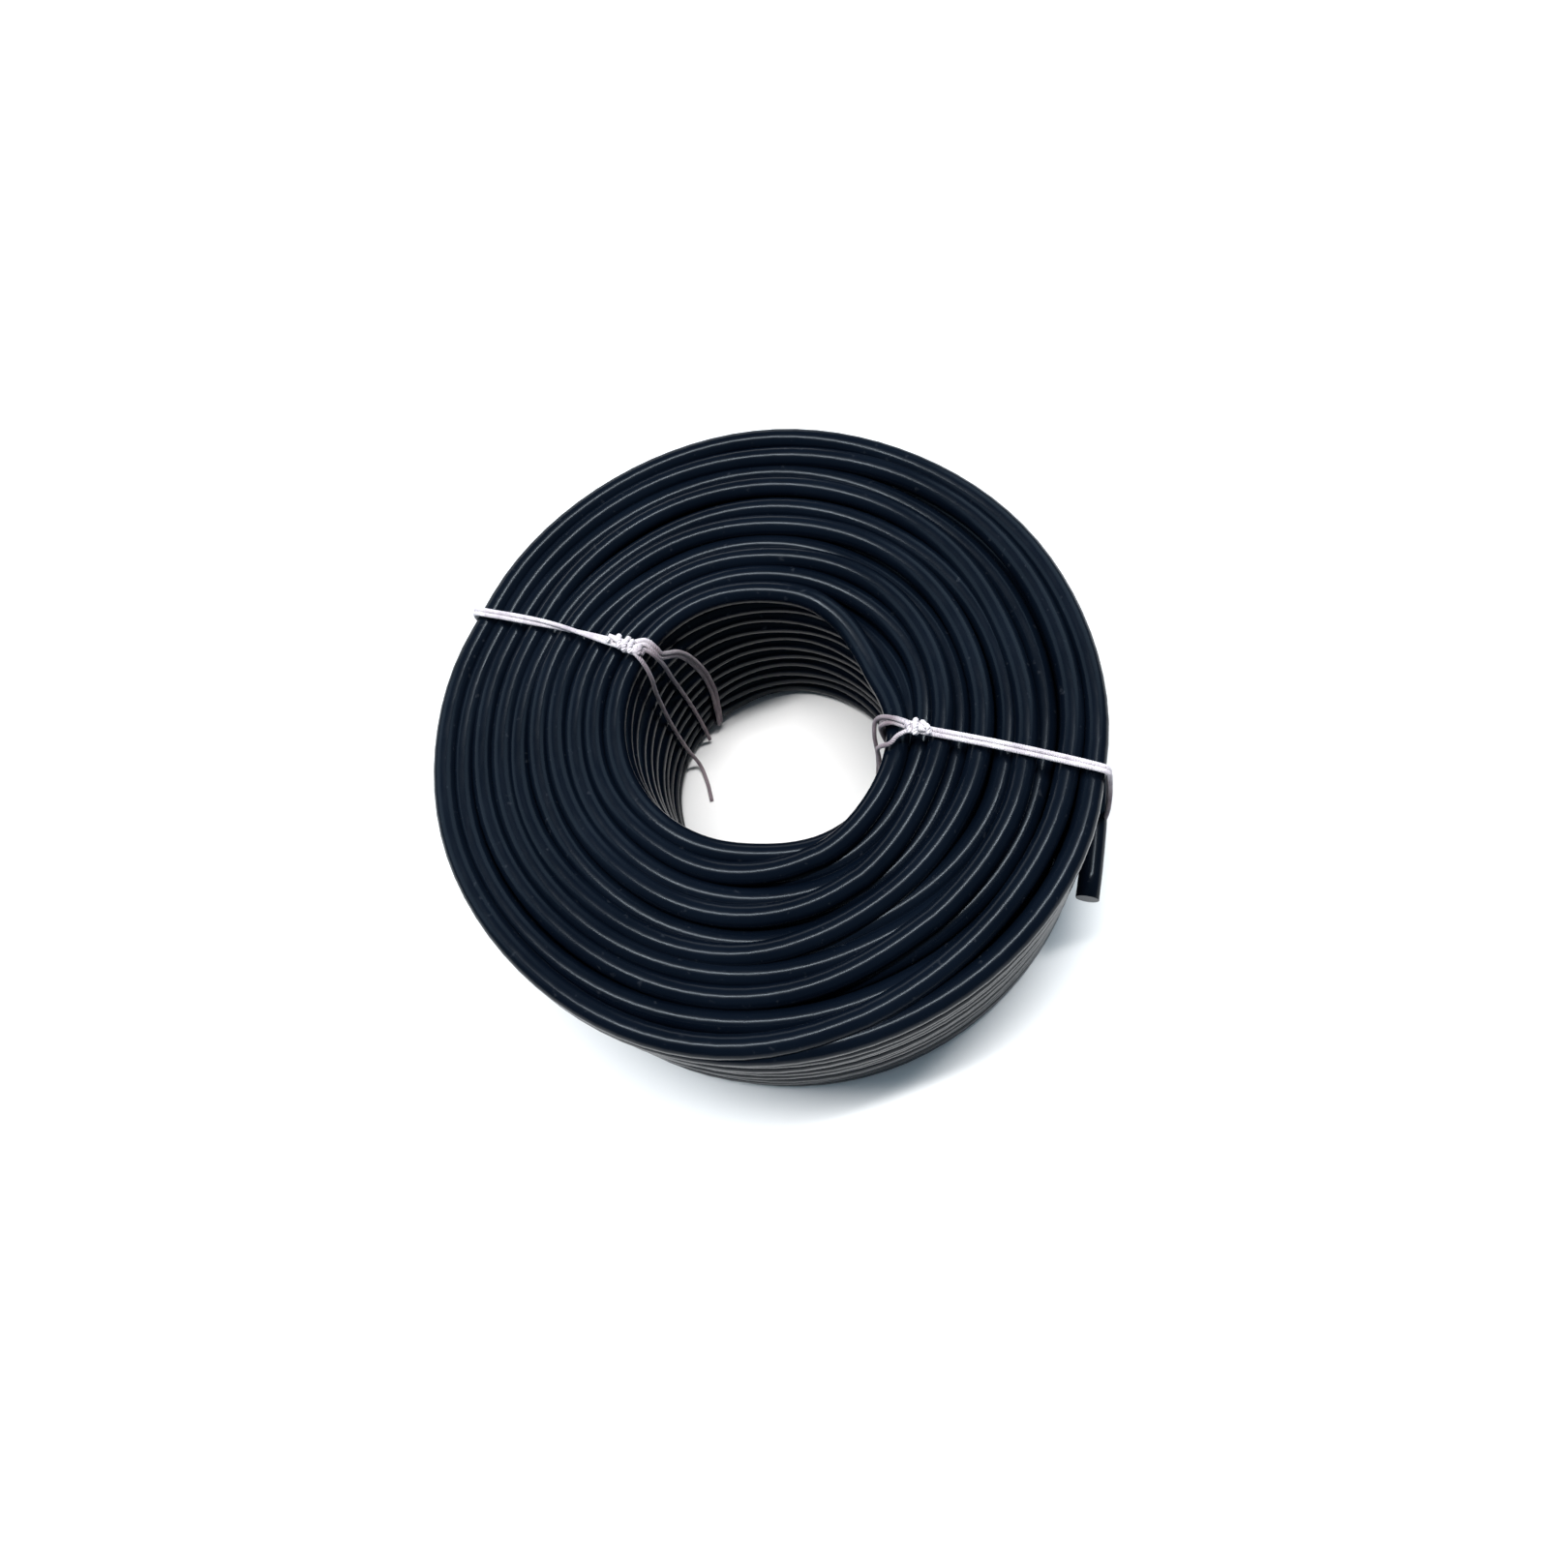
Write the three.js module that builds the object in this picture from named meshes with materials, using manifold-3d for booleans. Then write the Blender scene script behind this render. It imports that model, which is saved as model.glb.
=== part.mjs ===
// A roll of black insulated hookup wire, lying flat on one end, held by two doubled twine ties.
// Millimetres. +Z is the roll's axis, and the origin is where that axis meets the floor.
// Angles are degrees round the axis, counted from +X towards +Y.
import * as THREE from "three";
import { mergeVertices } from "three/addons/utils/BufferGeometryUtils.js";
import Module from "manifold-3d";

const wasm = await Module();
wasm.setup();

// Driving dimensions of the wire and its winding
const WIRE_DIAMETER = 4.6;
const BORE_DIAMETER = 52;
const LAYERS = 10;
const TURNS_PER_LAYER = 11;
const LAYER_RISE = 3.98; // alternate layers nest in each other's grooves, so a layer adds less than a wire
const END_NEST = 1.3; // how far every second layer lies back from the end faces
const GROOVE_DEPTH = 1.1; // groove between neighbouring turns on the end faces
const SIDE_GROOVE_DEPTH = 0.8; // the same on the outside and in the bore
const CREST_WIDTH = 1.6; // flat top of each turn on the end faces
const ROUND_STEPS = 36; // facets round the roll

// Driving dimensions of the twine
const TIE_DIAMETER = 1.4; // two strands laid together
const TAIL_DIAMETER = 0.9; // one strand
const KNOT_LENGTH = 10; // the left tie's; the right one's is half as long
const KNOT_WIDTH = 3.4;
const KNOT_HEIGHT = 2.8;
const CLEARANCE = 0.3; // between the twine and what it touches
const TIE_BITE = 0.9; // how deep the tight twine sinks into the outside of the roll
const FLOOR_GAP = 0.3; // the twine under the roll stays just clear of the floor

// Sizes that follow from them
const WIRE_RADIUS = WIRE_DIAMETER / 2;
const BORE_RADIUS = BORE_DIAMETER / 2;
const HEIGHT = TURNS_PER_LAYER * WIRE_DIAMETER;
const OUTER_RADIUS = BORE_RADIUS + WIRE_DIAMETER + (LAYERS - 1) * LAYER_RISE;
const INNER_TURN = BORE_RADIUS + WIRE_RADIUS; // centre of the innermost layer's wire
const OUTER_TURN = OUTER_RADIUS - WIRE_RADIUS; // centre of the outermost layer's wire
const TIE_STANDOFF = CLEARANCE + TIE_DIAMETER / 2;
const OUTSIDE_RUN = OUTER_RADIUS + TIE_DIAMETER / 2 - TIE_BITE; // the twine down the outside
const TAIL_STANDOFF = CLEARANCE + TAIL_DIAMETER / 2;

// The twine passes under the roll in a channel, its underside just above the floor.
const UNDER_RUN = FLOOR_GAP + TIE_DIAMETER / 2;
const KNOT_SEAT = HEIGHT + CLEARANCE + KNOT_HEIGHT / 2;

// The slack turn in the bore, and where the right tie crosses it
const SLACK_DROP = 2.2; // how far it hangs below its row
const SLACK_HELD = 2.6; // how far the twine holds it towards the wall where it crosses
const SLACK_HELD_DROP = 0.8; // how far it hangs below its row there
const SLACK_TIE_ANGLE = -33;

// The outer end, and where the right tie holds it
const END_HELD = 2.1; // how far it stands out of its layer under the twine
const END_SPRUNG = 5.1; // how far its cut end springs out of that layer
const END_TIE_ANGLE = -34.1;

const insulation = new THREE.MeshStandardMaterial({
  color: 0x15181c,
  roughness: 0.42,
  metalness: 0,
});
const twine = new THREE.MeshStandardMaterial({
  color: 0xd9d0d6,
  roughness: 0.9,
  metalness: 0,
});

// The point at an angle round the roll, a distance from its axis and a height above the floor.
function place(angle, radius, height) {
  const turn = THREE.MathUtils.degToRad(angle);
  return new THREE.Vector3(radius * Math.cos(turn), radius * Math.sin(turn), height);
}

// A closed geometry as a solid that can be joined and cut.
function solidOf(geometry) {
  const bare = geometry.clone();
  bare.deleteAttribute("normal");
  bare.deleteAttribute("uv");
  const merged = mergeVertices(bare, 1e-4);
  return new wasm.Manifold(
    new wasm.Mesh({
      numProp: 3,
      vertProperties: new Float32Array(merged.attributes.position.array),
      triVerts: new Uint32Array(merged.index.array),
    }),
  );
}

// A solid as a named mesh.
function meshOf(name, solid, material) {
  const made = solid.getMesh();
  const geometry = new THREE.BufferGeometry();
  geometry.setAttribute("position", new THREE.BufferAttribute(made.vertProperties, 3));
  geometry.setIndex(new THREE.BufferAttribute(made.triVerts, 1));
  geometry.computeVertexNormals();
  const mesh = new THREE.Mesh(geometry, material);
  mesh.name = name;
  return mesh;
}

// A round tube along a smooth curve through points, closed at both ends.
function tube(points, diameter, steps, sides) {
  const section = new THREE.Shape();
  for (let i = 0; i < sides; i++) {
    const turn = (2 * Math.PI * i) / sides;
    const x = (diameter / 2) * Math.cos(turn);
    const y = (diameter / 2) * Math.sin(turn);
    if (i === 0) section.moveTo(x, y);
    else section.lineTo(x, y);
  }
  const path = new THREE.CatmullRomCurve3(points, false, "centripetal");
  return solidOf(
    new THREE.ExtrudeGeometry(section, { steps, extrudePath: path, curveSegments: 1 }),
  );
}

// The section of one end face, from the bore outwards: a flat crest for each layer and a groove
// between neighbours. depth is measured inwards from the end face.
function endProfile() {
  const points = [];
  for (let layer = 0; layer < LAYERS; layer++) {
    const centre = INNER_TURN + layer * LAYER_RISE;
    const depth = layer % 2 === 1 ? END_NEST : 0;
    points.push({ radius: centre - CREST_WIDTH / 2, depth });
    points.push({ radius: centre + CREST_WIDTH / 2, depth });
    if (layer < LAYERS - 1) {
      points.push({ radius: centre + LAYER_RISE / 2, depth: END_NEST + GROOVE_DEPTH });
    }
  }
  return points;
}

// The turned ring: ridged end faces, and a ridge for each turn on the outside and in the bore.
function turnedRing() {
  const profile = [];
  const end = endProfile();
  for (const { radius, depth } of end) profile.push(new THREE.Vector2(radius, depth));
  for (let turn = 0; turn < TURNS_PER_LAYER; turn++) {
    const height = (turn + 0.5) * WIRE_DIAMETER;
    profile.push(new THREE.Vector2(OUTER_RADIUS, height));
    if (turn < TURNS_PER_LAYER - 1) {
      profile.push(new THREE.Vector2(OUTER_RADIUS - SIDE_GROOVE_DEPTH, height + WIRE_RADIUS));
    }
  }
  for (const { radius, depth } of end.reverse()) {
    profile.push(new THREE.Vector2(radius, HEIGHT - depth));
  }
  for (let turn = TURNS_PER_LAYER - 1; turn >= 0; turn--) {
    const height = (turn + 0.5) * WIRE_DIAMETER;
    profile.push(new THREE.Vector2(BORE_RADIUS, height));
    if (turn > 0) {
      profile.push(new THREE.Vector2(BORE_RADIUS + SIDE_GROOVE_DEPTH, height - WIRE_RADIUS));
    }
  }
  profile.push(profile[0].clone());
  const lathe = new THREE.LatheGeometry(profile, ROUND_STEPS);
  lathe.rotateX(Math.PI / 2); // the lathe turns about Y, and the roll's axis is Z
  return solidOf(lathe);
}

// The wire's outer end: it rises out of the outermost layer at mid height, passes under the right
// tie's twine and springs a little way off the roll before its square cut end.
function outerEnd() {
  const height = HEIGHT / 2;
  return tube(
    [
      place(12, OUTER_TURN, height),
      place(-4, OUTER_TURN + 0.1 * END_HELD, height),
      place(-20, OUTER_TURN + 0.5 * END_HELD, height),
      place(END_TIE_ANGLE, OUTER_TURN + END_HELD, height),
      place(-42, OUTER_TURN + 0.63 * END_SPRUNG, height),
      place(-50, OUTER_TURN + END_SPRUNG, height),
    ],
    WIRE_DIAMETER,
    14,
    12,
  );
}

// The innermost layer's top turn is slack: it stands off the bore wall beside the right tie, whose
// twine passes over it, and comes back into its layer on both sides.
function slackTurn() {
  const top = HEIGHT - WIRE_RADIUS;
  const slack = BORE_RADIUS - WIRE_RADIUS;
  return tube(
    [
      place(66, INNER_TURN, top),
      place(50, INNER_TURN - 0.2 * WIRE_RADIUS, top - 0.1 * SLACK_DROP),
      place(34, INNER_TURN - 1.1 * WIRE_RADIUS, top - 0.4 * SLACK_DROP),
      place(17, slack + 0.1 * WIRE_RADIUS, top - 0.8 * SLACK_DROP),
      place(0, slack - 0.1 * WIRE_RADIUS, top - SLACK_DROP),
      place(-17, slack + 0.4 * SLACK_HELD, top - 0.8 * SLACK_DROP),
      place(SLACK_TIE_ANGLE, slack + SLACK_HELD, top - SLACK_HELD_DROP),
      place(-50, INNER_TURN - 0.4 * WIRE_RADIUS, top - 0.4 * SLACK_HELD_DROP),
      place(-66, INNER_TURN - 0.1 * WIRE_RADIUS, top - 0.1 * SLACK_HELD_DROP),
      place(-80, INNER_TURN, top),
    ],
    WIRE_DIAMETER,
    22,
    12,
  );
}

// Four points that carry the twine round a corner turn, out to reach sideways and to rise up or
// down. from and to are directions in the upright plane of that angle: 0 points away from the
// axis, 90 up.
function roundCorner(angle, centre, reach, rise, from, to) {
  const points = [];
  for (let i = 0; i <= 3; i++) {
    const turn = THREE.MathUtils.degToRad(from + ((to - from) * i) / 3);
    points.push(
      place(angle, centre.radius + reach * Math.cos(turn), centre.height + rise * Math.sin(turn)),
    );
  }
  return points;
}

// The route of a tie round the roll's section: from the knot over the top, down the outside, under
// the roll, up the bore wall and back over the rim into the knot.
function tieRoute(tie) {
  const overTop = HEIGHT + TIE_STANDOFF;
  const wall = BORE_RADIUS - TIE_STANDOFF;
  const swing = WIRE_RADIUS + TIE_STANDOFF;
  const outwards = OUTSIDE_RUN - OUTER_TURN;
  const upperOuter = { radius: OUTER_TURN, height: HEIGHT - WIRE_RADIUS };
  const lowerOuter = { radius: OUTER_TURN, height: UNDER_RUN + swing };
  const upperInner = {
    radius: INNER_TURN - tie.rimReach,
    height: HEIGHT - WIRE_RADIUS - tie.rimDrop,
  };
  const lowerInner = { radius: INNER_TURN, height: UNDER_RUN + swing };
  const knotRadius = INNER_TURN + tie.knotInset;
  const risers = tie.wall.map(([angle, share]) => place(angle, wall, share * HEIGHT));
  return [
    place(tie.knotAngle, knotRadius, overTop + CLEARANCE),
    place((tie.knotAngle + tie.outerAngle) / 2, (knotRadius + OUTER_TURN) / 2, overTop),
    ...roundCorner(tie.outerAngle, upperOuter, outwards, swing, 90, 0),
    place(tie.outerAngle, OUTSIDE_RUN + tie.outerLift, HEIGHT / 2),
    ...roundCorner(tie.outerAngle, lowerOuter, outwards, swing, 0, -90),
    place((tie.footAngle + tie.outerAngle) / 2, (INNER_TURN + OUTER_TURN) / 2, UNDER_RUN),
    ...roundCorner(tie.footAngle, lowerInner, swing, swing, -90, -180),
    ...risers,
    ...roundCorner(tie.rimAngle, upperInner, swing, swing, 180, 100),
    place(tie.knotAngle, knotRadius - CLEARANCE, overTop + CLEARANCE),
  ];
}

// One tie: the loop, its knot on the end face beside the bore, and its two cut tails.
function tieSolid(tie) {
  const knot = new THREE.SphereGeometry(0.5, 14, 8);
  knot.scale(tie.knotLength, KNOT_WIDTH, KNOT_HEIGHT);
  knot.rotateZ(THREE.MathUtils.degToRad(tie.knotTurn));
  const seat = place(tie.knotAngle, INNER_TURN + tie.knotInset, KNOT_SEAT);
  knot.translate(seat.x, seat.y, seat.z);
  let solid = solidOf(knot).add(tube(tieRoute(tie), TIE_DIAMETER, 72, 8));
  for (const tail of tie.tails) {
    const route = tail.map(([angle, standoff, height]) =>
      place(angle, BORE_RADIUS - TAIL_STANDOFF - standoff * TAIL_DIAMETER, height),
    );
    solid = solid.add(tube([seat, ...route], TAIL_DIAMETER, 26, 8));
  }
  return solid;
}

// Where each tie lies. wall holds an angle and a share of the roll's height; tails hold an angle,
// a distance off the bore wall in tail diameters (below zero beyond it, on the end face) and a
// height.
const TOP = HEIGHT + TAIL_STANDOFF;
const FLOOR = FLOOR_GAP + TAIL_DIAMETER / 2;
const ties = {
  left: {
    knotAngle: 128.5,
    knotInset: 0.7 * WIRE_DIAMETER,
    knotTurn: 128.5,
    knotLength: KNOT_LENGTH,
    outerAngle: 136.4,
    outerLift: 0,
    rimAngle: 125,
    rimReach: 0,
    rimDrop: 0,
    footAngle: 113,
    wall: [
      [111, 0.2],
      [109, 0.42],
      [111, 0.65],
      [117, 0.84],
    ],
    tails: [
      [
        [127.5, -1.6, TOP + CLEARANCE],
        [127, 0.2, 0.94 * HEIGHT],
        [125.5, 0, 0.72 * HEIGHT],
        [123.5, 0, 0.45 * HEIGHT],
        [122.8, 0.1, 0.22 * HEIGHT],
        [123.6, 0.7, FLOOR + TAIL_DIAMETER],
      ],
      [
        [133, -1.8, TOP + CLEARANCE],
        [135.5, 0.2, 0.94 * HEIGHT],
        [137.5, 0, 0.78 * HEIGHT],
        [139.2, 0, 0.5 * HEIGHT],
        [139, 0.3, 0.2 * HEIGHT],
        [140.5, 2.4, FLOOR + TAIL_DIAMETER],
        [150, 5.3, FLOOR],
        [162, 6.9, FLOOR],
      ],
    ],
  },
  right: {
    knotAngle: -30.2,
    knotInset: 0.57 * WIRE_DIAMETER,
    knotTurn: -33,
    knotLength: KNOT_LENGTH / 2,
    outerAngle: END_TIE_ANGLE,
    outerLift: END_HELD,
    rimAngle: SLACK_TIE_ANGLE,
    rimReach: WIRE_DIAMETER - SLACK_HELD,
    rimDrop: SLACK_HELD_DROP,
    footAngle: -38,
    wall: [
      [-37, 0.22],
      [-36, 0.45],
    ],
    tails: [
      [
        [-26.5, 1.1, TOP],
        [-26, 4.9, 0.92 * HEIGHT],
        [-29.5, 5.6, 0.83 * HEIGHT],
        [-36, 4.7, 0.7 * HEIGHT],
        [-40, 4, 0.5 * HEIGHT],
        [-43, 3.6, 0.3 * HEIGHT],
        [-45, 3.3, 0.16 * HEIGHT],
      ],
      [
        [-37, -1.3, TOP + CLEARANCE],
        [-41.5, 3.8, 0.95 * HEIGHT],
        [-44, 4, 0.84 * HEIGHT],
        [-48, 1.8, 0.66 * HEIGHT],
        [-51, 0.9, 0.5 * HEIGHT],
        [-54, 1.1, 0.34 * HEIGHT],
      ],
    ],
  },
};

const roll = new THREE.Group();

let wire = turnedRing().add(outerEnd()).add(slackTurn());
for (const tie of Object.values(ties)) {
  wire = wire.subtract(tube(tieRoute(tie), TIE_DIAMETER + 2 * CLEARANCE, 72, 8));
}
roll.add(meshOf("wire_coil", wire, insulation));
for (const [side, tie] of Object.entries(ties)) {
  roll.add(meshOf("twine_tie_" + side, tieSolid(tie), twine));
}

export default roll;
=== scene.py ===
import math

import bpy
import numpy as np
from mathutils import Matrix, Vector


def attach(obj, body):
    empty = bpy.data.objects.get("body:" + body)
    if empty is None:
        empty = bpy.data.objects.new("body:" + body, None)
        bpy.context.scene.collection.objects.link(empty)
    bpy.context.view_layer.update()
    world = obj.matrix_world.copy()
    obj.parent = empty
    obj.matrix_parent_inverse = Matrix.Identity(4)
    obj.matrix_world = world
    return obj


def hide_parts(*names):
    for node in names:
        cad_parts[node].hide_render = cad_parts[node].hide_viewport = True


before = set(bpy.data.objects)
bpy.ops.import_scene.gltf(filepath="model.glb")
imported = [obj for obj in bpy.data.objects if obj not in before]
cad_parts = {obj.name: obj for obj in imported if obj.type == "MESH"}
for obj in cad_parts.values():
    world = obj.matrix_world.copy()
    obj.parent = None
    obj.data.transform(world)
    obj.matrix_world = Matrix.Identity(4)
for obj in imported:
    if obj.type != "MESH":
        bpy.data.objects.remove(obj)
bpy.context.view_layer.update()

MM = 0.001
rng = np.random.default_rng(7)

# The winding, in millimetres and degrees, as the CAD model has it
WIRE = 4.6
TUBE = 4.52  # the wire as drawn, a hair thinner than its pitch
RADIUS = WIRE / 2
BORE = 26.0
LAYERS = 10
ROWS = 11
RISE = 3.98  # from one layer out to the next
HEIGHT = ROWS * WIRE
INNER = BORE + RADIUS  # the middle of the innermost layer's wire
OUTER = BORE + WIRE + (LAYERS - 1) * RISE  # the outside of the outermost layer
STEP = 4.0  # degrees between sections along the wire
SIDES = 14

# Azimuth falls along the wire. Even layers climb and odd ones come down; CROSSINGS holds where the
# wire starts, and where it passes outwards into each next layer.
CROSSINGS = [-80, -92, -30, -82, 140, -104, -140, -78, 30, -97]
RECESS = [0.0, 1.2, 0.1, 1.5, 0.3, 1.1, 0.0, 1.8, 0.4, 0.1]  # below the end face, by layer
LEVELLING = 0.7  # 0 is an even helix, 1 a level turn with a sharp step
LEAD_UP = 0.6  # turns that a layer takes before it leaves its first row
LEAD_DOWN = 0.4
LEAD_LAST = 0.5

# How many degrees of winding each kind of smoothing takes in
OVER_LAYERS = 110
OVER_SLACK = 14
OVER_HEIGHT = 20
OVER_SHAPE = 26

# How far each layer is pushed out of its round, by azimuth
SHAPE_AZ = [-180, -150, -111, -84, -45, 0, 67, 112, 135, 180]
SHAPE = [
    [1.0, 0.2, -0.6, 0.3, 0.0, 0.0, -0.8, 1.0, 1.6, 1.0],
    [1.4, 0.0, -0.6, 0.4, -1.2, -0.2, -0.8, 1.2, 2.0, 1.4],
    [1.0, 0.1, 0.2, 0.0, -1.7, -0.8, -0.6, 1.0, 2.2, 1.0],
    [0.9, -0.2, -0.7, -0.4, -2.1, -1.9, -0.8, 0.8, 2.4, 0.9],
    [0.8, -0.2, 0.1, -1.4, -1.9, -1.7, -0.9, 0.5, 2.1, 0.8],
    [1.5, -0.2, -0.8, -2.7, -0.6, -1.2, -0.2, 0.3, 0.9, 1.5],
    [0.4, -0.7, -1.8, -3.3, -1.2, -2.2, 1.2, 0.9, 0.5, 0.4],
    [0.8, -0.7, -2.2, -3.2, -2.1, -1.7, 1.2, 0.9, 0.8, 0.8],
    [1.2, -0.1, -1.6, -2.4, -1.5, -0.9, 0.4, 0.3, 0.2, 1.2],
    [0.4, -0.2, -0.4, -0.5, -0.2, -1.4, 0.6, -0.1, -1.0, 0.4],
]
# The innermost layers keep their round low in the bore, and take their shape above this height
ROUND_LAYERS = 3
ROUND_BELOW = 22
ROUND_FADE = 20
# Small waves in the radius, and a sway in how far the inner layers lie below the end face
RIPPLE = 0.09
ROW_PHASE = 2.3
SWAY = 0.4
LAYER_PHASE = 1.9
SWAY_FADE = 4

SLACK = [  # azimuth, distance moved off the wall, depth below the top row
    (66, 0.0, 0.0), (50, 0.46, 0.22), (34, 2.2, 0.8), (17, 3.9, 1.6), (0, 4.3, 2.2),
    (-17, 2.7, 1.6), (-33, 1.4, 0.7), (-50, 0.6, 0.3), (-66, 0.1, 0.1), (-80, 0.0, 0.0),
]
OUTER_END = [  # azimuth, radius, height
    (12, 64.0, 25.3), (-4, 64.5, 25.3), (-20, 65.5, 25.3), (-27, 66.1, 25.3),
    (-34, 66.5, 25.3), (-42, 67.7, 25.3), (-50, 70.2, 25.3),
]
# The free end: whole turns of its layer, its last azimuth, the degrees over which it takes up its
# table, and the degrees at its end that are evened and how much
FREE_TURNS = 5
FREE_STOP = -49
FREE_BLEND = 12
FREE_REACH = 80
FREE_EVEN = 10

# The outermost layer's lower rows: the azimuth where they come out, the turns by which they end,
# the turns that they take to come out, and where and how far they sink at their end
LOWER_START = 20
LOWER_TURNS = 11.25
LOWER_RISING = 0.12
LOWER_SINKING = 11.1
LOWER_DEPTH = 3.5

# Each tie. Azimuths of its knot, of its run down the outside, of its foot in the bore and of its
# turn over the bore's rim. How far out the knot sits, how far the rim's turn reaches in and drops,
# how far the outside run stands off, and how far the pair turns about itself, in radians. Then its
# points up the bore wall as azimuth and share of the height, and its two tails as azimuth,
# distance off the wall and height.
TIES = {
    "left": {
        "knot": 131, "outer": 137, "foot": 113, "rim": 126,
        "inset": 2.3, "reach": 0, "drop": 0, "lift": 0, "twist": 3.1,
        "knot_span": 8.6, "wraps": 4.3,
        "wall": [(111, 0.2), (109, 0.42), (111, 0.65), (117, 0.84)],
        "tails": [
            [(129, -1.2, 51.4), (127.6, 0.4, 47.5), (125.5, 0, 36.4), (123.5, 0, 22.8),
             (122.8, 0.1, 11.1), (123.6, 0.6, 1.7)],
            [(134, -1.0, 51.4), (136, 0.4, 47.5), (137.5, 0, 39.5), (139.2, 0, 25.3),
             (139, 0.3, 10.1), (140.5, 2.2, 1.7), (150, 4.8, 0.75), (162, 6.2, 0.75)],
        ],
    },
    "right": {
        "knot": -31.1, "outer": -33.6, "foot": -38, "rim": -28,
        "inset": 2.2, "reach": 1.8, "drop": 0.8, "lift": 2.4, "twist": 0.0,
        "knot_span": 4.6, "wraps": 2.6,
        "wall": [(-36, 0.22), (-33, 0.45), (-29.5, 0.72)],
        "tails": [
            [(-27, 0.6, 51.0), (-26, 3.0, 48.2), (-29.5, 3.4, 44.5), (-35, 2.6, 38),
             (-39.5, 2.6, 29), (-42, 2.8, 19), (-44, 2.8, 8.1)],
            [(-35, -1.9, 51.5), (-38.5, -0.9, 51.0), (-40, 1.4, 48.5), (-41.6, 1.2, 45),
             (-45, 0.5, 40), (-49, 0.4, 33), (-53, 0.5, 25.3), (-55, 0.8, 17.2)],
        ],
    },
}
# How the ties press the wires: how deep and over how many degrees to each side on the top face,
# under the roll and on the outside, and how near an end face a wire has to lie to be pressed
TOP_PRESS, TOP_WIDTH = 0.25, 9
UNDER_PRESS, UNDER_WIDTH = 1.75, 8
OUTSIDE_PRESS, OUTSIDE_WIDTH = 0.35, 7
PRESS_FROM = 12
PRESS_FADE = 10

# The twine, in millimetres
STRAND = 0.95
STRAND_OFFSET = 0.46  # each strand's middle from the pair's
STANDOFF = 0.85  # the pair's middle above what it lies on
OUTSIDE = 66.0  # the pair's middle down the outside
UNDER = 1.0  # the pair's middle above the floor
TOP_SAG = 0.25
EDGE_SAG = 0.1
LAST_STEP = (-0.3, 0.4)  # inwards and up, where the pair comes back to its knot
CORNER_POINTS = 4
TWINE_STEP = 0.6
TWINE_SIDES = 8
TWIST_FROM = 5
TWIST_OVER = 24
TWIST_SWAY = 0.35
TWIST_WAVE = 9
TAIL_RADIUS = 0.45
TAIL_STANDOFF = 0.62

# The knot: its height over the end face, the share of its length that its turns cover, its width
# and height, its swelling, and the size, number and phase of the waves that make it uneven
KNOT_RISE = 1.7
KNOT_SECTIONS = 100
KNOT_COVER = 0.86
KNOT_WIDE = 1.02
KNOT_HIGH = 0.8
SWELL_ENDS = 0.62
SWELL_MIDDLE = 0.55
SWELL_POWER = 0.8
SPIN_WAVE = (0.9, 1.7, 0.6)
SWELL_WAVE = (0.12, 2.3)
SLIDE_WAVE = (0.35, 1.3)
WRAP_RADIUS, WRAP_LUMPS = 0.5, 0.1
CORE_RADIUS, CORE_SWELL = 0.38, 0.2
CORE_LEANS = (-0.45, 0.4)
CORE_SWAY = 0.3

# Where each tube starts along its material's pattern, in millimetres
LOWER_PATTERN = 31000
STRAND_PATTERN = 200
WRAP_PATTERN = 500
CORE_PATTERN = 600
TAIL_PATTERN = (700, 790)

# Floor, light and camera, in metres, watts and degrees
FLOOR_HALF = 3
FLOOR_COLOUR = (0.86, 0.85, 0.84, 1)
FLOOR_ROUGHNESS = 0.6
LIGHT_AIM = (0, 0, 0.03)
WHITE = (1, 1, 1)
COOL = (0.7, 0.87, 1)
LIGHTS = [  # name, place, the two sides, power, colour; overhead's x of 0 keeps its long side on X
    ("overhead", (0, 0.06, 0.93), (0.8, 0.07), 14, WHITE),
    ("behind", (-0.15, 1.1, 0.35), (1.2, 0.25), 3.5, WHITE),
    ("left", (-0.9, 0.5, 0.75), (1.0, 0.8), 5.5, COOL),
    ("right", (0.9, 0.5, 0.75), (1.0, 0.8), 6.5, COOL),
]
WORLD_COLOUR = (0.62, 0.82, 1.0, 1)
WORLD_STRENGTH = 0.26
ELEVATION = math.radians(67.2)
ROLL = math.radians(21.06)
DISTANCE = 0.2303
LENS = 24.70  # this and the sensor are in millimetres
SENSOR = 36
SHIFT_X = 0.0042
SHIFT_Y = -0.0172
CLIP_START = 0.01
CLIP_END = 20


# Geometry helpers
def place(az, radius, height):
    a = math.radians(az)
    return (radius * math.cos(a), radius * math.sin(a), height)


def polar(az, radius, height):
    a = np.radians(az)
    return np.stack([radius * np.cos(a), radius * np.sin(a), height + 0 * a], axis=-1)


def unit(v):
    return v / np.maximum(np.linalg.norm(v, axis=-1, keepdims=True), 1e-9)


def wrap(az):
    return (np.asarray(az) + 180) % 360 - 180


def bell(distance, width):
    return np.exp(-((distance / width) ** 2))


def wave(t, size, count, phase=0.0):
    return size * np.sin(2 * np.pi * count * t + phase)


def smooth(values, width):
    """A window average over that many samples, with the ends carried straight on."""
    half = max(int(round(width / 2)), 1)
    window = np.hanning(2 * half + 3)[1:-1]
    window /= window.sum()
    padded = np.pad(values, half, mode="reflect", reflect_type="odd")
    return np.convolve(padded, window, mode="valid")


def lengths(points):
    """The distance along a path to each of its points."""
    return np.concatenate([[0], np.cumsum(np.linalg.norm(np.diff(points, axis=0), axis=1))])


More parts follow.
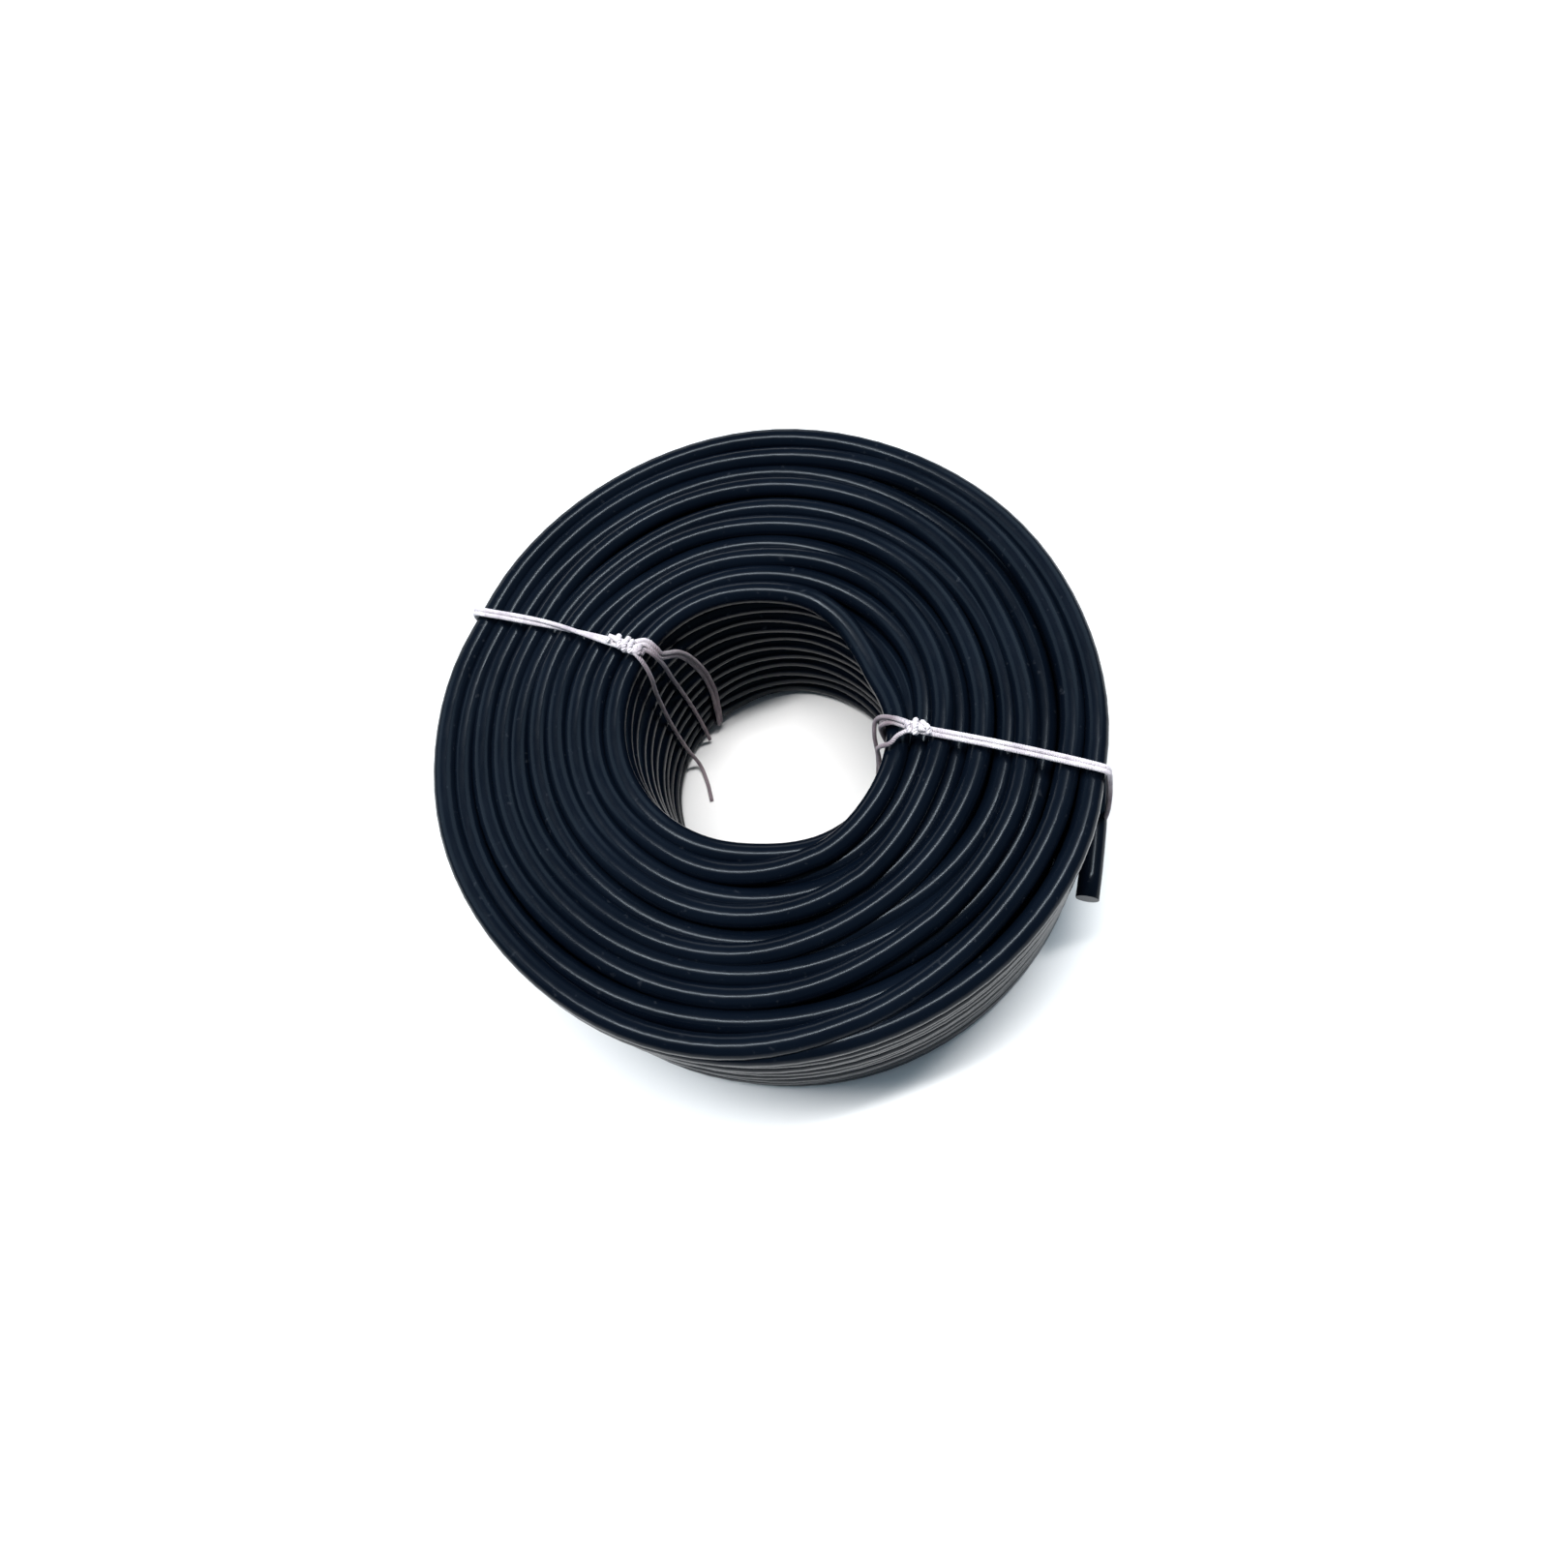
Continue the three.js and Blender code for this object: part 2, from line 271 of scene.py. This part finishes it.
def spline(points, step):
    """A smooth curve through points, sampled about every step."""
    p = np.asarray(points, float)
    chord = np.linalg.norm(np.diff(p, axis=0), axis=1)
    t = np.concatenate([[0], np.cumsum(np.sqrt(chord))])
    slope = np.diff(p, axis=0) / np.diff(t)[:, None]
    tangent = np.empty_like(p)
    tangent[0] = slope[0]
    tangent[-1] = slope[-1]
    for k in range(1, len(p) - 1):
        across = (p[k + 1] - p[k - 1]) / (t[k + 1] - t[k - 1])
        tangent[k] = slope[k - 1] - across + slope[k]
    out = []
    for k in range(len(p) - 1):
        n = max(int(round(chord[k] / step)), 1)
        h = t[k + 1] - t[k]
        for s in np.arange(n) / n:
            out.append(
                (2 * s**3 - 3 * s**2 + 1) * p[k]
                + (s**3 - 2 * s**2 + s) * h * tangent[k]
                + (-2 * s**3 + 3 * s**2) * p[k + 1]
                + (s**3 - s**2) * h * tangent[k + 1]
            )
    out.append(p[-1])
    return np.array(out)


def carried(points):
    """Two normals for each point of a path, carried along it without twist."""
    t = unit(np.gradient(points, axis=0))
    first = np.cross(t[0], (0, 0, 1.0) if abs(t[0][2]) < 0.9 else (1.0, 0, 0))
    n1 = np.empty_like(points)
    n1[0] = first / np.linalg.norm(first)
    for k in range(1, len(points)):
        v = n1[k - 1] - t[k] * np.dot(n1[k - 1], t[k])
        n1[k] = v / np.linalg.norm(v)
    return n1, np.cross(t, n1)


def sweep(points, radius, sides, normals, start, caps=(True, True)):
    """Vertices, faces, smooth flags and UVs of a tube; radius may vary along it."""
    n = len(points)
    radius = np.broadcast_to(np.asarray(radius, float), (n,))
    phi = 2 * np.pi * np.arange(sides) / sides
    ring = (
        np.cos(phi)[None, :, None] * normals[0][:, None, :]
        + np.sin(phi)[None, :, None] * normals[1][:, None, :]
    )
    verts = (points[:, None, :] + radius[:, None, None] * ring).reshape(-1, 3)
    length = start + lengths(points)
    i, j = np.meshgrid(np.arange(n - 1), np.arange(sides), indexing="ij")
    k = (j + 1) % sides
    quads = np.stack(
        [i * sides + j, i * sides + k, (i + 1) * sides + k, (i + 1) * sides + j], -1
    ).reshape(-1, 4)
    v0, v1 = (j / sides).ravel(), ((j + 1) / sides).ravel()
    u0, u1 = length[i].ravel(), length[i + 1].ravel()
    uvs = np.stack([u0, v0, u0, v1, u1, v1, u1, v0], -1).reshape(-1, 4, 2)
    faces = [tuple(q) for q in quads.tolist()]
    uv = [tuple(map(tuple, q)) for q in uvs.tolist()]
    flags = [True] * len(faces)
    for at, wanted in ((0, caps[0]), (n - 1, caps[1])):
        if not wanted:
            continue
        verts = np.vstack([verts, points[at]])
        centre = len(verts) - 1
        for a in range(sides):
            b = (a + 1) % sides
            pair = (at * sides + b, at * sides + a)
            faces.append((centre,) + (pair if at == 0 else pair[::-1]))
            uv.append(((length[at], 0.5),) * 3)
            flags.append(False)
    return verts, faces, flags, uv


def build(name, tubes, material, node):
    """One piece of the object from one or more swept tubes, in place of a CAD node."""
    verts, faces, flags, uvs, base = [], [], [], [], 0
    for v, f, s, u in tubes:
        verts.append(v)
        faces += [tuple(k + base for k in face) for face in f]
        flags += s
        uvs += u
        base += len(v)
    mesh = bpy.data.meshes.new(name)
    mesh.from_pydata((np.vstack(verts) * MM).tolist(), [], faces)
    mesh.polygons.foreach_set("use_smooth", flags)
    layer = mesh.uv_layers.new(name="along")
    layer.data.foreach_set("uv", [c for face in uvs for corner in face for c in corner])
    mesh.materials.append(material)
    mesh.update()
    obj = bpy.data.objects.new(name, mesh)
    bpy.context.scene.collection.objects.link(obj)
    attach(obj, "root")
    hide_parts(node)
    return obj


# Materials
def shader(name):
    material = bpy.data.materials.new(name)
    material.use_nodes = True
    tree = material.node_tree
    tree.nodes.clear()
    out = tree.nodes.new("ShaderNodeOutputMaterial")
    bsdf = tree.nodes.new("ShaderNodeBsdfPrincipled")
    tree.links.new(bsdf.outputs["BSDF"], out.inputs["Surface"])
    return material, tree, bsdf


def node(tree, kind, inputs=None, **settings):
    made = tree.nodes.new(kind)
    for key, value in settings.items():
        setattr(made, key, value)
    for key, value in (inputs or {}).items():
        if isinstance(value, bpy.types.NodeSocket):
            tree.links.new(value, made.inputs[key])
        else:
            made.inputs[key].default_value = value
    return made


def noise(tree, where, scale, detail, **settings):
    inputs = {"Vector": where, "Scale": scale, "Detail": detail}
    return node(tree, "ShaderNodeTexNoise", inputs, **settings).outputs["Fac"]


def bump(tree, height, distance, strength, **under):
    inputs = {"Height": height, "Distance": distance, "Strength": strength, **under}
    return node(tree, "ShaderNodeBump", inputs).outputs["Normal"]


def ramp(tree, source, stops):
    made = tree.nodes.new("ShaderNodeValToRGB")
    elements = made.color_ramp.elements
    while len(elements) < len(stops):
        elements.new(1.0)
    for element, (at, colour) in zip(elements, stops):
        element.position = at
        element.color = (*colour, 1.0)
    tree.links.new(source, made.inputs["Fac"])
    return made.outputs["Color"]


def grey(value):
    return (value, value, value)


def insulation_material():
    material, tree, bsdf = shader("black_insulation")
    where = node(tree, "ShaderNodeTexCoord")
    along = where.outputs["UV"]
    local = where.outputs["Object"]
    stretched = node(
        tree, "ShaderNodeMapping", {"Vector": along, "Scale": (0.05, 3.0, 1.0)}
    ).outputs["Vector"]
    streaks = noise(tree, stretched, 4.0, 3.0, noise_dimensions="2D")
    broad = noise(tree, local, 55.0, 3.0)
    fine = noise(tree, local, 1900.0, 2.0)
    specks = noise(tree, local, 620.0, 5.0)
    base = ramp(tree, broad, [(0.3, (0.0012, 0.0026, 0.0058)), (0.7, (0.0022, 0.0042, 0.0085))])
    dust = ramp(tree, specks, [(0.66, grey(0.0)), (0.74, grey(0.35))])
    # The colour mix takes its share at 0 and its two colours at 6 and 7
    dust_colour = (0.03, 0.034, 0.042, 1.0)
    colour = node(tree, "ShaderNodeMix", {0: dust, 6: base, 7: dust_colour}, data_type="RGBA")
    tree.links.new(colour.outputs[2], bsdf.inputs["Base Color"])
    least, more = 0.16, 0.13
    rough = node(tree, "ShaderNodeMath", {0: streaks, 1: more, 2: least}, operation="MULTIPLY_ADD")
    tree.links.new(rough.outputs[0], bsdf.inputs["Roughness"])
    ridge = bump(tree, streaks, 0.00002, 0.1)
    grain = bump(tree, fine, 0.000004, 0.1, Normal=ridge)
    tree.links.new(grain, bsdf.inputs["Normal"])
    bsdf.inputs["IOR"].default_value = 1.46
    bsdf.inputs["Specular IOR Level"].default_value = 0.12
    bsdf.inputs["Specular Tint"].default_value = (0.80, 0.91, 1.0, 1.0)
    return material


def twine_material():
    material, tree, bsdf = shader("pale_twine")
    where = node(tree, "ShaderNodeTexCoord")
    along = where.outputs["UV"]
    local = where.outputs["Object"]
    turned = node(
        tree, "ShaderNodeMapping", {"Vector": along, "Rotation": (0, 0, 0.9)}
    ).outputs["Vector"]
    plies = node(
        tree,
        "ShaderNodeTexWave",
        {"Vector": turned, "Scale": 1.1, "Distortion": 2.5, "Detail": 3.0, "Detail Scale": 3.0},
    ).outputs["Fac"]
    fuzz = noise(tree, local, 2600.0, 4.0)
    tone = noise(tree, local, 260.0, 3.0)
    fibres = [(0.3, (0.48, 0.42, 0.47)), (0.55, (0.72, 0.66, 0.70)), (0.75, (0.86, 0.82, 0.84))]
    colour = ramp(tree, tone, fibres)
    # Painted shade: the twine is coloured darker down the bore and down the outside, where it lies in
    # shade. The ramp runs on the distance from the roll's axis, in decimetres.
    flat = node(
        tree, "ShaderNodeMapping", {"Vector": local, "Scale": (10.0, 10.0, 0.0)}
    ).outputs["Vector"]
    decimetres = node(tree, "ShaderNodeVectorMath", {0: flat}, operation="LENGTH").outputs["Value"]
    # Painted shade stops: dark towards the bore and beyond the roll's outside, full colour between
    shade_stops = [
        (0.255, (0.30, 0.24, 0.26)),
        (0.29, grey(1.0)),
        (0.655, grey(1.0)),
        (0.675, (0.3, 0.22, 0.24)),
    ]
    painted_shade = ramp(tree, decimetres, shade_stops)
    # The painted shade is multiplied into the twine's own colour
    shaded_twine = node(
        tree, "ShaderNodeMix", {0: 1.0, 6: colour, 7: painted_shade}, data_type="RGBA", blend_type="MULTIPLY"
    )
    tree.links.new(shaded_twine.outputs[2], bsdf.inputs["Base Color"])
    bsdf.inputs["Roughness"].default_value = 0.85
    bsdf.inputs["Sheen Weight"].default_value = 0.4
    bsdf.inputs["Sheen Roughness"].default_value = 0.5
    laid = bump(tree, plies, 0.00022, 0.8)
    hairy = bump(tree, fuzz, 0.00018, 0.7, Normal=laid)
    tree.links.new(hairy, bsdf.inputs["Normal"])
    return material


insulation = insulation_material()
twine = twine_material()

waves = rng.uniform(0, 2 * np.pi, (4, 2))


# The winding
def levelled(v):
    v = np.clip(v, 0, ROWS - 1)
    return v - LEVELLING * np.sin(2 * np.pi * v) / (2 * np.pi)


def shaped(layer, az, radius, height, row):
    """Radius and height after the roll's unevenness and the pull of its ties."""
    a = np.radians(az)
    share = layer / (LAYERS - 1)
    rows = np.array([np.interp(wrap(az), SHAPE_AZ, line) for line in SHAPE])
    below = np.clip(np.floor(layer).astype(int), 0, LAYERS - 2)
    part = layer - below
    at = np.arange(len(az))
    pushed = rows[below, at] * (1 - part) + rows[below + 1, at] * part
    upper = np.clip((height - ROUND_BELOW) / ROUND_FADE, 0, 1)
    kept = np.where(layer < ROUND_LAYERS, upper + (1 - upper) * layer / ROUND_LAYERS, 1)
    radius = radius + smooth(pushed * kept, OVER_SHAPE / STEP)
    for k, phase in enumerate(waves[:, 1]):
        radius = radius + RIPPLE * np.cos((k + 3) * a + phase + ROW_PHASE * row)
    fade = np.clip(SWAY_FADE * (1 - share), 0, 1)
    recess = np.interp(layer, np.arange(LAYERS), RECESS)
    recess = recess + SWAY * (1 + np.cos(a + LAYER_PHASE * layer)) * fade
    mid = HEIGHT / 2
    height = mid + (height - mid) * (1 - recess / (mid - RADIUS))
    for tie in TIES.values():
        along = (radius - INNER) / (OUTER - RADIUS - INNER)
        top = tie["knot"] + (tie["outer"] - tie["knot"]) * along
        under = tie["foot"] + (tie["outer"] - tie["foot"]) * along
        near_top = bell(wrap(az - top), TOP_WIDTH)
        near_under = bell(wrap(az - under), UNDER_WIDTH)
        high = np.clip((height - HEIGHT + PRESS_FROM) / PRESS_FADE, 0, 1)
        low = np.clip((PRESS_FROM - height) / PRESS_FADE, 0, 1)
        height = height - TOP_PRESS * near_top * high + UNDER_PRESS * near_under * low
        near_outside = bell(wrap(az - tie["outer"]), OUTSIDE_WIDTH)
        radius = radius - OUTSIDE_PRESS * near_outside * share**2
    return radius, np.clip(height, RADIUS, HEIGHT - RADIUS)


def smoothed_path(az, layer, shift, height, row):
    """Radius and height of a winding whose layers and heights were given with sharp steps."""
    layer = smooth(layer, OVER_LAYERS / STEP)
    radius = INNER + layer * RISE + smooth(shift, OVER_SLACK / STEP)
    return shaped(layer, az, radius, smooth(height, OVER_HEIGHT / STEP), row)


def winding():
    """The wire from its hidden inner end to its free outer end, as layer, azimuth, radius, height."""
    az, layer, row, height, shift = [], [], [], [], []
    angle = float(CROSSINGS[0])
    for i in range(LAYERS):
        climbs = i % 2 == 0
        if i < LAYERS - 1:
            travel = (angle - CROSSINGS[i + 1]) % 360
            turns = travel / 360 + ROWS - (1 if travel > 180 else 0)
            lead = LEAD_UP if climbs else LEAD_DOWN
            span = turns - 1
        else:
            turns = FREE_TURNS + ((angle - FREE_STOP) % 360 + STEP) / 360
            lead = LEAD_LAST
            span = ROWS - 1
        u = np.arange(int(round(turns * 360 / STEP))) * STEP / 360
        v = levelled((u - lead) * (ROWS - 1) / span)
        level = RADIUS + WIRE * (v if climbs else ROWS - 1 - v)
        angles = angle - 360 * u
        moved = np.zeros(len(u))
        if i == 0:
            slack = np.array(SLACK)[::-1]
            here = wrap(angles)
            inside = (u > turns - 1) & (here < slack[-1, 0]) & (here > slack[0, 0])
            moved = np.where(inside, -np.interp(here, slack[:, 0], slack[:, 1]), 0)
            level = level - np.where(inside, np.interp(here, slack[:, 0], slack[:, 2]), 0)
        az.append(angles)
        layer.append(np.full(len(u), float(i)))
        row.append(v)
        height.append(level)
        shift.append(moved)
        angle = angles[-1] - STEP
    az, layer, row = np.concatenate(az), np.concatenate(layer), np.concatenate(row)
    radius, height = smoothed_path(
        az, layer, np.concatenate(shift), np.concatenate(height), row
    )
    # The free end follows its own table
    end = np.array(OUTER_END)[::-1]
    tail = np.arange(len(az)) > len(az) - (end[-1, 0] - FREE_STOP) / STEP - 1
    here = wrap(az)
    blend = smooth(tail.astype(float), FREE_BLEND / STEP).clip(0, 1)
    radius = radius * (1 - blend) + blend * np.interp(here, end[:, 0], end[:, 1])
    height = height * (1 - blend) + blend * np.interp(here, end[:, 0], end[:, 2])
    evened = len(az) - int(FREE_REACH / STEP)
    radius[evened:] = smooth(radius, FREE_EVEN / STEP)[evened:]
    return layer, az, radius, height


def lower_half():
    """The lower rows of the outermost layer, which come out from under the free end."""
    start = FREE_TURNS + (CROSSINGS[-1] - LOWER_START) % 360 / 360
    u = start + np.arange(int((LOWER_TURNS - start) * 360 / STEP)) * STEP / 360
    v = levelled(u - LEAD_LAST)
    az = CROSSINGS[-1] - 360 * u
    rising = np.interp(u - start, [0, LOWER_RISING], [-WIRE, 0])
    sinking = np.interp(u, [LOWER_SINKING, LOWER_TURNS], [0, -LOWER_DEPTH])
    level = RADIUS + WIRE * (ROWS - 1 - v)
    radius, height = smoothed_path(
        az, np.full(len(u), LAYERS - 1.0), rising + sinking, level, v
    )
    return az, radius, height


def ring_normals(points, az):
    """Normals that point away from the roll's axis, so a winding never twists."""
    t = unit(np.gradient(points, axis=0))
    away = polar(az, np.ones(len(az)), np.zeros(len(az)))
    n1 = unit(away - t * (away * t).sum(-1, keepdims=True))
    return n1, np.cross(t, n1)


layer, az, radius, height = winding()
points = polar(az, radius, height)
normals = ring_normals(points, az)
length = lengths(points)
for i in range(LAYERS):
    last = i == LAYERS - 1
    index = np.flatnonzero(layer == i)
    a, b = index[0], min(index[-1] + 2, len(az))
    own = (normals[0][a:b], normals[1][a:b])
    tubes = [sweep(points[a:b], TUBE / 2, SIDES, own, length[a], caps=(i == 0, last))]
    if last:
        low_az, low_radius, low_height = lower_half()
        low = polar(low_az, low_radius, low_height)
        tubes.append(sweep(low, TUBE / 2, SIDES, ring_normals(low, low_az), LOWER_PATTERN))
    build(f"wire_layer_{i + 1:02d}", tubes, insulation, "wire_coil")


# The twine ties
def twine_tube(path, radius, start):
    return sweep(path, radius, TWINE_SIDES, carried(path), start)


def round_corner(angle, centre, reach, rise, start, stop):
    turns = np.radians(np.linspace(start, stop, CORNER_POINTS))
    return [
        place(angle, centre[0] + reach * math.cos(t), centre[1] + rise * math.sin(t)) for t in turns
    ]


def tie_route(tie):
    """Points of the pair from the knot over the top, down the outside, under and up the bore."""
    over, wall, swing = HEIGHT + STANDOFF, BORE - STANDOFF, RADIUS + STANDOFF
    outer_turn = OUTER - RADIUS
    away = OUTSIDE - outer_turn
    knot_radius = INNER + tie["inset"]
    inner = (INNER - tie["reach"], HEIGHT - RADIUS - tie["drop"])
    halfway = (tie["knot"] + tie["outer"]) / 2
    return [
        place(tie["knot"], knot_radius, over),
        place(halfway, (knot_radius + outer_turn) / 2, over - TOP_SAG),
        *round_corner(tie["outer"], (outer_turn, HEIGHT - RADIUS), away, swing - EDGE_SAG, 90, 0),
        place(tie["outer"], OUTSIDE + tie["lift"], HEIGHT / 2),
        *round_corner(tie["outer"], (outer_turn, UNDER + swing), away, swing, 0, -90),
        place((tie["foot"] + tie["outer"]) / 2, (INNER + outer_turn) / 2, UNDER),
        *round_corner(tie["foot"], (INNER, UNDER + swing), swing, swing, -90, -180),
        *[place(a, wall, share * HEIGHT) for a, share in tie["wall"]],
        *round_corner(tie["rim"], inner, swing, swing, 180, 100),
        place(tie["knot"], knot_radius + LAST_STEP[0], over + LAST_STEP[1]),
    ]


def pair_tubes(tie):
    """The two strands that lie side by side round the roll's section."""
    middle = spline(tie_route(tie), TWINE_STEP)
    n1, n2 = carried(middle)
    s = lengths(middle)
    tubes = []
    for k in (0, 1):
        turned = tie["twist"] * np.clip((s - TWIST_FROM) / TWIST_OVER, 0, 1)
        turn = math.pi * k + turned + TWIST_SWAY * np.sin(s / TWIST_WAVE)
        offset = np.cos(turn)[:, None] * n1 + np.sin(turn)[:, None] * n2
        tubes.append(twine_tube(middle + STRAND_OFFSET * offset, STRAND / 2, STRAND_PATTERN * k))
    return tubes


def knot_tubes(tie, seat):
    """The knot: turns of twine wound round two short strands."""
    along = np.array(place(tie["knot"], 1, 0))
    across = np.array([-along[1], along[0], 0])
    up = np.array([0, 0, 1.0])
    span = tie["knot_span"]
    t = np.linspace(0, 1, KNOT_SECTIONS)
    hump = np.sin(np.pi * t)
    spin = 2 * np.pi * tie["wraps"] * t + wave(t, *SPIN_WAVE)
    swell = SWELL_ENDS + SWELL_MIDDLE * hump**SWELL_POWER + wave(t, *SWELL_WAVE)
    turns = (
        np.array(seat)
        + ((t - 0.5) * KNOT_COVER * span + wave(t, *SLIDE_WAVE))[:, None] * along
        + (swell * KNOT_WIDE * np.cos(spin))[:, None] * across
        + (swell * KNOT_HIGH * np.sin(spin))[:, None] * up
    )
    tubes = [twine_tube(turns, WRAP_RADIUS + WRAP_LUMPS * np.sin(5 * spin), WRAP_PATTERN)]
    for k, lean in enumerate(CORE_LEANS):
        bent = lean * np.cos(np.pi * (t - 0.5)) + CORE_SWAY * np.sin(4 * t + k)
        core = np.array(seat) + ((t - 0.5) * span)[:, None] * along + bent[:, None] * across
        tubes.append(twine_tube(core, CORE_RADIUS + CORE_SWELL * hump, CORE_PATTERN))
    return tubes


def tail_tubes(tie, seat):
    """The two cut ends, from the knot down the bore."""
    tubes = []
    for tail, start in zip(tie["tails"], TAIL_PATTERN):
        route = [seat] + [place(a, BORE - TAIL_STANDOFF - off, z) for a, off, z in tail]
        tubes.append(twine_tube(spline(route, TWINE_STEP), TAIL_RADIUS, start))
    return tubes


for side, tie in TIES.items():
    seat = place(tie["knot"], INNER + tie["inset"], HEIGHT + KNOT_RISE)
    tubes = pair_tubes(tie) + knot_tubes(tie, seat) + tail_tubes(tie, seat)
    build(f"twine_{side}", tubes, twine, f"twine_tie_{side}")

# Floor, light and camera
corners = [(-1, -1), (1, -1), (1, 1), (-1, 1)]
mesh = bpy.data.meshes.new("floor")
mesh.from_pydata([(FLOOR_HALF * x, FLOOR_HALF * y, 0) for x, y in corners], [], [(0, 1, 2, 3)])
floor = bpy.data.objects.new("floor", mesh)
bpy.context.scene.collection.objects.link(floor)
material, _, bsdf = shader("pale_floor")
bsdf.inputs["Base Color"].default_value = FLOOR_COLOUR
bsdf.inputs["Roughness"].default_value = FLOOR_ROUGHNESS
mesh.materials.append(material)


def soft_light(name, spot, size, power, colour):
    data = bpy.data.lights.new(name, "AREA")
    data.shape = "RECTANGLE"
    data.size, data.size_y = size
    data.energy = power
    data.color = colour
    obj = bpy.data.objects.new(name, data)
    obj.location = spot
    obj.rotation_euler = (Vector(LIGHT_AIM) - Vector(spot)).to_track_quat("-Z", "Y").to_euler()
    bpy.context.scene.collection.objects.link(obj)


for light in LIGHTS:
    soft_light(*light)

world = bpy.data.worlds.new("studio")
world.use_nodes = True
world.node_tree.nodes["Background"].inputs["Color"].default_value = WORLD_COLOUR
world.node_tree.nodes["Background"].inputs["Strength"].default_value = WORLD_STRENGTH
bpy.context.scene.world = world

back = Vector((0, -math.cos(ELEVATION), math.sin(ELEVATION)))
level_right = Vector((1, 0, 0))
level_up = Vector((0, math.sin(ELEVATION), math.cos(ELEVATION)))
right = level_right * math.cos(ROLL) - level_up * math.sin(ROLL)
up = level_right * math.sin(ROLL) + level_up * math.cos(ROLL)
camera = bpy.data.objects.new("camera", bpy.data.cameras.new("camera"))
camera.data.lens = LENS
camera.data.sensor_width = SENSOR
camera.data.shift_x = SHIFT_X
camera.data.shift_y = SHIFT_Y
camera.data.clip_start, camera.data.clip_end = CLIP_START, CLIP_END
turn = Matrix((right, up, back)).transposed().to_4x4()
camera.matrix_world = Matrix.Translation(Vector((0, 0, HEIGHT / 2 * MM)) + back * DISTANCE) @ turn
bpy.context.scene.collection.objects.link(camera)
bpy.context.scene.camera = camera
bpy.context.scene.view_settings.view_transform = "Standard"
